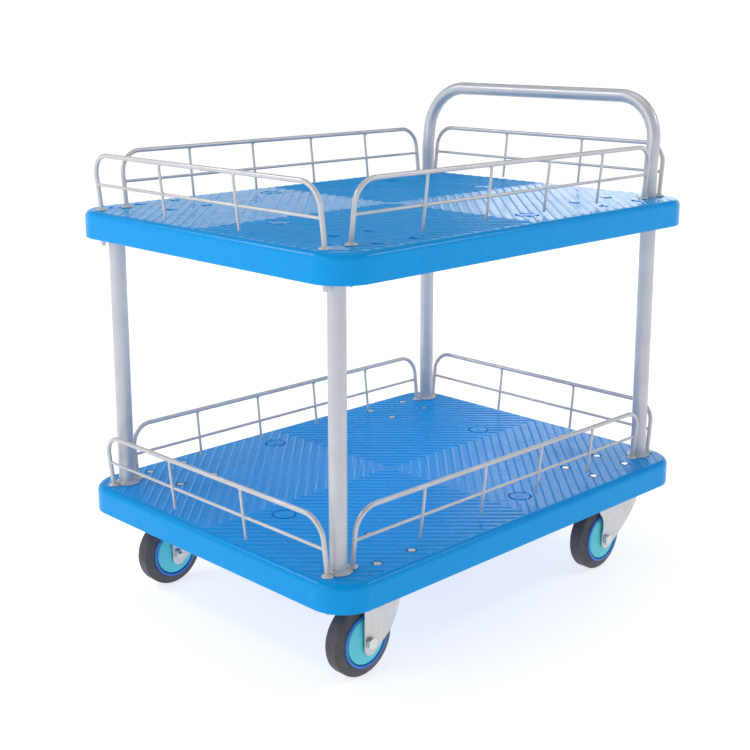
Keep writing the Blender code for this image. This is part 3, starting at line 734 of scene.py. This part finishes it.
def bead(centre, radii):
    """A small weld bead, flattened and slightly lumpy."""
    work = bmesh.new()
    bmesh.ops.create_icosphere(work, subdivisions=3, radius=1.0)
    for vert in work.verts:
        lump = 1.0 + 0.08 * math.sin(5 * vert.co.x + 3 * vert.co.z) * math.cos(4 * vert.co.y)
        vert.co = Vector((vert.co.x * radii[0], vert.co.y * radii[1], vert.co.z * radii[2])) * lump
    bmesh.ops.translate(work, verts=work.verts, vec=Vector(centre))
    return mesh_of(work)


def guard_rails():
    reach, end_y = POST_Y - RAIL_FOOT_PITCH, POST_Y + RAIL_FOOT_PITCH
    end_rail = rail_mesh(RAIL_FOOT_X, 2, RAIL_END_BELOW)
    side_rails = {"lower": rail_mesh(reach, 4, RAIL_END_OVER_CASTER),
                  "upper": rail_mesh(reach, 4, RAIL_END_BELOW)}
    for level, bottom in DECK_BOTTOMS.items():
        side_rail = side_rails[level]
        for word, mesh, x, y, turn in (("right", side_rail, RAIL_FOOT_X, 0, 0),
                                       ("left", side_rail, -RAIL_FOOT_X, 0, 180),
                                       ("rear", end_rail, 0, end_y, 90),
                                       ("front", end_rail, 0, -end_y, -90)):
            fit = (Matrix.Translation((x, y, bottom + DECK_DEPTH))
                   @ Matrix.Rotation(math.radians(turn), 4, "Z"))
            finish_piece(loose(placed(mesh, fit)), f"{level}_guard_{word}", "cart_frame", "powder_silver",
                         (f"{level}_rail_{word}",), 50.0, False, RAIL_PAINT)


# ---- wheels -------------------------------------------------------------------------
def mirrored(half):
    """A closed ring profile from its outer half, given from the middle outwards and in."""
    return [(r, z) for r, z in half] + [(r, -z) for r, z in reversed(half) if z > 0]


def wheel(tag, axle, side):
    fit = Matrix.Translation(axle) @ Matrix.Rotation(side * math.pi / 2, 4, "Y")
    r = WHEEL_RADIUS
    tyre = mirrored([(r, 0.0), (r, 0.0096), (r - 0.0002, 0.0105), (r - 0.0008, 0.0114), (r - 0.0017, 0.0121),
                     (r - 0.0028, 0.0126), (r - 0.0050, 0.0135), (r - 0.0080, 0.0147), (r - 0.0110, 0.0158),
                     (r - 0.0140, 0.0167), (r - 0.0158, 0.0171), (r - 0.0165, 0.0171), (r - 0.0169, 0.0166),
                     (0.0455, 0.0162), (0.0455, 0.0)])
    rim = mirrored([(0.0452, 0.0), (0.0452, 0.0168), (0.0457, 0.0182), (0.0456, 0.0194), (0.0450, 0.0202),
                    (0.0430, 0.0204), (0.0418, 0.0200), (0.0410, 0.0190), (0.0405, 0.0165), (0.0401, 0.0125),
                    (0.0401, 0.0100), (0.0084, 0.0095), (0.0084, 0.0)])
    cap = [(0.0086, 0.0098), (0.0392, 0.0102), (0.0395, 0.0112), (0.0395, 0.0177), (0.0391, 0.0187),
           (0.0382, 0.0193), (0.0340, 0.0200), (0.0280, 0.0206), (0.0215, 0.0211), (0.0165, 0.0214),
           (0.0155, 0.0220), (0.0140, 0.0223), (0.0120, 0.0223), (0.0112, 0.0219), (0.0098, 0.0218),
           (0.0088, 0.0215), (0.0086, 0.0206)]
    body = "wheel_" + tag
    for mesh, name, slot, nodes in (
            (turned(tyre, 128), "tyre_ring_" + tag, "tyre_rubber", ("tyre_" + tag,)),
            (turned(rim, 96), "wheel_rim_" + tag, "rim_plastic", ("rim_" + tag,)),
            (turned(cap, 96), "cap_outer_" + tag, "cap_plastic", ("hub_cap_outer_" + tag,)),
            (turned([(a, -b) for a, b in reversed(cap)], 96), "cap_inner_" + tag, "cap_plastic",
             ("hub_cap_inner_" + tag,))):
        finish_piece(loose(placed(mesh, fit)), name, body, slot, nodes, 38.0)


def axle_set(tag, axle, side, body):
    """The sleeve between the legs, the bolt through it and its lock nut, along the axle."""
    fit = Matrix.Translation(axle) @ Matrix.Rotation(side * math.pi / 2, 4, "Y")
    out = FORK_INSIDE + FORK_SHEET + GAP
    inner, outer, end = AXLE_HOLE, 0.0080, FORK_INSIDE - GAP
    sleeve = turned([(inner, -end), (outer, -end), (outer, end), (inner, end)], 40)
    face = turned([(0.0, out), (outer, out), (outer, out + 0.0007), (0.0, out + 0.0007)], 40)
    head = placed(merge_meshes([hexagon(0.0169, out + 0.0006, out + 0.0069, 0.0, 0.0010), face]),
                  Matrix.Rotation(0.42 * side, 4, "Z"))
    shank = turned([(0.0, out + 0.001), (AXLE_RADIUS, out + 0.001), (AXLE_RADIUS, -out - 0.0002),
                    (0.0, -out - 0.0002)], 32)
    bolt = merge_meshes([head, shank, threaded(AXLE_RADIUS, -out - 0.0114, -out)])
    collar = turned([(0.0049, 0.0060), (0.0068, 0.0060), (0.0068, 0.0072), (0.0062, 0.0079),
                     (0.0049, 0.0079)], 40)
    flip = (Matrix.Translation((0, 0, -out)) @ Matrix.Rotation(math.pi, 4, "X")
            @ Matrix.Rotation(0.2, 4, "Z"))
    nut = placed(merge_meshes([hexagon(0.0156, 0.0, 0.0064, 0.0049, 0.0010), collar]), flip)
    for mesh, name, slot, node in ((sleeve, "spacer_sleeve_", "zinc_steel", "axle_sleeve_"),
                                   (bolt, "wheel_bolt_", "bright_steel", "axle_bolt_"),
                                   (nut, "wheel_lock_nut_", "bright_steel", "axle_nut_")):
        finish_piece(loose(placed(mesh, fit)), name + tag, body, slot, (node + tag,), 30.0)


# ---- caster frames ------------------------------------------------------------------
def smooth_outline(points, steps=4):
    """A curve through the points, as closely spaced points of its own."""
    made = []
    ends = [points[0]] + list(points) + [points[-1]]
    for a, b, c, d in zip(ends, ends[1:], ends[2:], ends[3:]):
        for k in range(steps):
            t = k / steps
            made.append(tuple(0.5 * (2 * q + (r - p) * t + (2 * p - 5 * q + 4 * r - s) * t * t
                                     + (3 * q - p - 3 * r + s) * t * t * t)
                              for p, q, r, s in zip(a, b, c, d)))
    return made + [points[-1]]


def pressed_legs(outline, top, low_y, high_y):
    """A folded sheet: two legs of the outline joined by a crown with rounded folds."""
    outer, inner = FORK_INSIDE + FORK_SHEET, FORK_INSIDE
    fold = 0.0055
    foot = -0.03
    right = [(outer, foot)] + arc((outer - fold, top - fold), fold, 0, 90, 8)
    within = [(inner, foot)] + arc((inner - fold + FORK_SHEET, top - fold), fold - FORK_SHEET, 0, 90, 8)
    ring = right + [(-x, z) for x, z in reversed(right)]
    ring += [(-x, z) for x, z in within] + list(reversed(within))
    work = bmesh.new()
    loops = [[work.verts.new((x, y, z)) for x, z in ring] for y in (low_y - BEYOND, high_y + BEYOND)]
    count = len(ring)
    for i in range(count):
        j = (i + 1) % count
        work.faces.new((loops[0][i], loops[0][j], loops[1][j], loops[1][i]))
    half = count // 2
    for loop in loops:
        for i in range(half - 1):
            work.faces.new((loop[i], loop[i + 1], loop[count - 2 - i], loop[count - 1 - i]))
    item = loose(mesh_of(work))
    side = bmesh.new()
    faces = [[side.verts.new((x, y, z)) for y, z in outline] for x in (-0.04, 0.04)]
    for face in faces:
        side.faces.new(face)
    for i in range(len(outline)):
        j = (i + 1) % len(outline)
        side.faces.new((faces[0][i], faces[0][j], faces[1][j], faces[1][i]))
    return boolean(item, mesh_of(side), "INTERSECT")


def mounting_bolts(tag, places, plate_bottom):
    """Bolts through the lower deck and the plate: head and washer above, nut below."""
    top = DECK_BOTTOMS["lower"] + DECK_DEPTH - BOLT_RECESS_DEPTH
    head = placed(hexagon(0.0125, 0.0012, 0.0042, 0.0, 0.0008), Matrix.Rotation(0.35, 4, "Z"))
    washer = turned([(0.0, 0.0002), (0.0078, 0.0002), (0.0081, 0.0006), (0.0078, 0.0013),
                     (0.0, 0.0013)], 40)
    upper = merge_meshes([head, washer])
    nut = placed(hexagon(0.0125, -0.0072, -0.0012, 0.0041, 0.0007), Matrix.Rotation(0.8, 4, "Z"))
    under = turned([(0.0042, -0.0013), (0.0080, -0.0013), (0.0082, -0.0008), (0.0080, -0.0002),
                    (0.0042, -0.0002)], 32)
    length = plate_bottom - top
    shank = turned([(0.0, 0.001), (BOLT_RADIUS, 0.001), (BOLT_RADIUS, length), (0.0, length)], 24)
    stub = threaded(BOLT_RADIUS, -0.0088, 0.0)
    meshes = []
    for x, y in places:
        above, below = Matrix.Translation((x, y, top)), Matrix.Translation((x, y, plate_bottom))
        meshes += [placed(part, above) for part in (upper, shank)]
        meshes += [placed(part, below) for part in (nut, under, stub)]
    finish_piece(loose(merge_meshes(meshes)), "mounting_bolts_" + tag, "cart_frame", "bright_steel",
                 (), 30.0)


def plate(half_x, half_y, corner, low, high, centre, holes):
    """A flat plate with rounded corners and round (x, y, radius) holes."""
    item = loose(loft([rounded_rectangle(half_x, half_y, corner, z, 6) for z in (low, high)]))
    item.data.transform(Matrix.Translation((*centre, 0)))
    boolean(item, merge_meshes([rod_mesh((x, y, low - BEYOND), (x, y, high + BEYOND), radius, 24)
                                for x, y, radius in holes]))
    return item


def rigid_caster(tag, side):
    x = side * RIGID_X
    axle = (x, RIGID_AXLE_Y, WHEEL_RADIUS)
    top = PLATE_TOP - WHEEL_RADIUS
    foot = arc((0.0025, -0.0085), 0.0140, 180.0, 318.0, 16)
    back = smooth_outline([foot[-1], (0.0425, 0.0050), (0.0497, 0.0135), (0.0566, 0.0250), (0.0635, 0.0420),
                           (0.0675, 0.0600), (0.0690, top + 0.002)])
    outline = [(-0.0115, top + 0.002)] + foot + back[1:]
    legs = pressed_legs(outline, top - 0.0001, -0.0115, 0.0690)
    boolean(legs, rod_mesh((-0.05, 0, 0), (0.05, 0, 0), AXLE_HOLE, 32))
    soften(legs, 0.0005)
    legs.data.transform(Matrix.Translation(axle))
    places = bolt_square(x, RIGID_PLATE_Y, RIGID_BOLTS)
    base = plate(0.0590, 0.0520, 0.007, PLATE_TOP - SHEET, PLATE_TOP, (x, RIGID_PLATE_Y),
                 [(px, py, 0.0046) for px, py in places])
    soften(base, 0.0005)
    weld = []
    for way in (-1, 1):
        for step in range(9):
            y = RIGID_AXLE_Y - 0.008 + step * 0.0090
            weld.append(bead((x + way * (FORK_INSIDE + FORK_SHEET + 0.0006), y,
                              PLATE_TOP - SHEET - 0.0012), (0.0022, 0.0056, 0.0022)))
    finish_piece(merge([legs, base, *weld]), "rigid_frame_" + tag, "cart_frame", "zinc_steel",
                 ("rigid_bracket_" + tag,), 32.0)
    wheel(tag, axle, side)
    axle_set(tag, axle, side, "cart_frame")
    mounting_bolts(tag, places, PLATE_TOP - SHEET)


def swivel_caster(tag, side):
    x = side * SWIVEL_X
    body = "swivel_" + tag
    axle = (x, SWIVEL_AXLE_Y, WHEEL_RADIUS)
    plate_bottom = PLATE_TOP - SHEET
    race_top, race_bottom = plate_bottom - GAP, plate_bottom - RACE_DEPTH
    crown_top = race_bottom - GAP
    places = bolt_square(x, SWIVEL_PLATE_Y, SWIVEL_BOLTS)
    base = plate(0.0460, 0.0625, 0.008, plate_bottom, PLATE_TOP, (x, SWIVEL_PLATE_Y),
                 [(px, py, 0.0046) for px, py in places] + [(x, SWIVEL_AXIS_Y, 0.0064)])
    soften(base, 0.0005)
    finish_piece(base, "swivel_top_plate_" + tag, "cart_frame", "zinc_steel",
                 ("swivel_plate_" + tag,), 32.0)
    mid = (race_top + race_bottom) / 2
    race = turned([(0.0063, race_top), (0.0268, race_top), (0.0284, race_top - 0.0006),
                   (0.0290, race_top - 0.0022), (0.0290, mid + 0.0008), (0.0282, mid + 0.0004),
                   (0.0282, mid - 0.0004), (0.0290, mid - 0.0008), (0.0290, race_bottom + 0.0026),
                   (0.0280, race_bottom + 0.0010), (0.0255, race_bottom), (0.0063, race_bottom)], 64)
    race.transform(Matrix.Translation((x, SWIVEL_AXIS_Y, 0)))
    finish_piece(loose(race), "swivel_race_" + tag, "cart_frame", "zinc_steel", ("ball_race_" + tag,), 30.0)
    head_top = crown_top - SHEET - GAP
    pin = merge_meshes([
        turned([(0.0, PLATE_TOP - 0.0002), (0.0050, PLATE_TOP - 0.0002), (0.0060, PLATE_TOP - 0.0010),
                (0.0060, head_top - 0.001), (0.0, head_top - 0.001)], 32),
        hexagon(0.0185, head_top - 0.0045, head_top, 0.0, 0.0009)])
    pin.transform(Matrix.Translation((x, SWIVEL_AXIS_Y, 0)))
    finish_piece(loose(pin), "swivel_kingpin_" + tag, "cart_frame", "bright_steel",
                 ("kingpin_" + tag,), 30.0)
    top = crown_top - WHEEL_RADIUS
    foot = arc((0.0020, -0.0045), 0.0145, 172.0, 300.0, 16)
    front = smooth_outline([(-0.0245, top + 0.002), (-0.0215, 0.0583), (-0.0138, 0.0475), (-0.0095, 0.0380),
                            (-0.0088, 0.0230), (-0.0115, 0.0090), foot[0]])
    back = smooth_outline([foot[-1], (0.0285, -0.0070), (0.0435, 0.0045), (0.0615, 0.0175), (0.0770, 0.0310),
                           (0.0900, 0.0455), (0.0962, 0.0580), (0.0975, top + 0.002)])
    fork = pressed_legs(front[:-1] + foot + back[1:], top, -0.0245, 0.0975)
    trail = SWIVEL_AXIS_Y - SWIVEL_AXLE_Y
    boolean(fork, merge_meshes([rod_mesh((-0.05, 0, 0), (0.05, 0, 0), AXLE_HOLE, 32),
                                rod_mesh((0, trail, top - BEYOND), (0, trail, top + BEYOND), 0.0066, 32)]))
    soften(fork, 0.0005)
    fork.data.transform(Matrix.Translation(axle))
    finish_piece(fork, "swivel_pressed_fork_" + tag, body, "zinc_steel", ("swivel_fork_" + tag,), 32.0)
    wheel(tag, axle, side)
    axle_set(tag, axle, side, body)
    mounting_bolts(tag, places, plate_bottom)


# ---- the whole cart -----------------------------------------------------------------
SCOOP = hollow()
deck("lower", SCOOP)
deck("upper", SCOOP)
deck_plugs()
posts()
post_flanges()
post_caps()
handle()
guard_rails()
for word, sign in (("left", -1), ("right", 1)):
    rigid_caster("front_" + word, sign)
    swivel_caster("rear_" + word, sign)


# ---- studio -------------------------------------------------------------------------
# The floor's glow: its start and end distance from the cart, then its strength at each.
FLOOR_GLOW = (1.3, 3.6, 0.70, 0.86)
# The sky's brightness: the height where it starts and stops fading, then its strength at each.
SKY_FADE = (0.20, 0.42, 1.03, 0.24)
# Lengths in millimetres for the lens and sensor, and angles in degrees.
CAMERA_PLACE, CAMERA_DOWN, CAMERA_TURN = (1.66107, -1.68232, 1.02320), 12.470, 45.345
LENS, SENSOR_WIDTH, CAMERA_SHIFT, VIEW_LIMIT = 63.159, 36.0, -0.08, 60.0
# Each soft light: name, place, the point it faces, width and height, and power in watts.
LIGHTS = (
    ("key", (-0.5, -3.1, 1.9), (0, 0, 0.45), (1.8, 1.5), 25.0),
    ("edge_left", (-2.00, -1.70, 2.45), (0.1, -0.2, 0.45), (0.9, 0.17), 22.0),
    ("edge_right", (1.75, 1.85, 2.45), (0.2, -0.1, 0.45), (0.9, 0.17), 16.0),
    ("overhead", (-0.2, 0.3, 3.4), (0, 0, 0.5), (2.4, 2.4), 18.0),
    ("bay", (0, 0, 0.645), (0, 0, 0.2), (0.5, 0.7), 0.85),
    ("behind", (-1.45, 3.00, 1.45), (0, 0, 0.30), (1.5, 0.9), 7.5),
)


def stage():
    """A white floor, and a sky that is white near the horizon and grey overhead."""
    work = bmesh.new()
    bmesh.ops.create_circle(work, cap_ends=True, segments=96, radius=14.0)
    floor = loose(mesh_of(work))
    floor.name = "studio_floor"
    paint = Paint("studio_floor_paint", (0.60, 0.60, 0.60), 0.9, specular=0.05)
    paint.mottle((0.59, 0.59, 0.595), paint.noise(1.5), 0.0, 0.4)
    paint.set("Emission Color", (1.0, 1.0, 1.0, 1.0))
    reach = paint.node("ShaderNodeVectorMath")
    reach.operation = "LENGTH"
    paint.link(paint.coords, reach.inputs[0])
    start, end, near, far = FLOOR_GLOW
    glow = paint.spread(reach.outputs["Value"], near, far, start, end)
    paint.link(glow, paint.shader.inputs["Emission Strength"])
    floor.data.materials.append(paint.material)
    world = bpy.data.worlds.new("studio_world")
    world.use_nodes = True
    nodes, links = world.node_tree.nodes, world.node_tree.links
    coords, split = nodes.new("ShaderNodeTexCoord"), nodes.new("ShaderNodeSeparateXYZ")
    fade = nodes.new("ShaderNodeMapRange")
    fade.interpolation_type = "SMOOTHSTEP"
    for key, value in zip(("From Min", "From Max", "To Min", "To Max"), SKY_FADE):
        fade.inputs[key].default_value = value
    links.new(coords.outputs["Generated"], split.inputs["Vector"])
    links.new(split.outputs["Z"], fade.inputs["Value"])
    links.new(fade.outputs["Result"], nodes["Background"].inputs["Strength"])
    nodes["Background"].inputs["Color"].default_value = (1.0, 1.0, 1.0, 1.0)
    bpy.context.scene.world = world


def soft_light(name, position, target, size, power):
    data = bpy.data.lights.new(name, "AREA")
    data.shape, data.size, data.size_y = "RECTANGLE", size[0], size[1]
    data.energy = power
    item = bpy.data.objects.new(name, data)
    bpy.context.scene.collection.objects.link(item)
    item.location = position
    item.rotation_euler = (Vector(target) - Vector(position)).to_track_quat("-Z", "Y").to_euler()
    item.visible_camera = False


def camera():
    data = bpy.data.cameras.new("camera")
    data.lens, data.sensor_width, data.shift_y = LENS, SENSOR_WIDTH, CAMERA_SHIFT
    data.clip_end = VIEW_LIMIT
    item = bpy.data.objects.new("camera", data)
    bpy.context.scene.collection.objects.link(item)
    item.location = CAMERA_PLACE
    item.rotation_euler = (math.radians(90.0 - CAMERA_DOWN), 0.0, math.radians(CAMERA_TURN))
    bpy.context.scene.camera = item


stage()
for light in LIGHTS:
    soft_light(*light)
camera()
bpy.context.scene.view_settings.view_transform = "Standard"
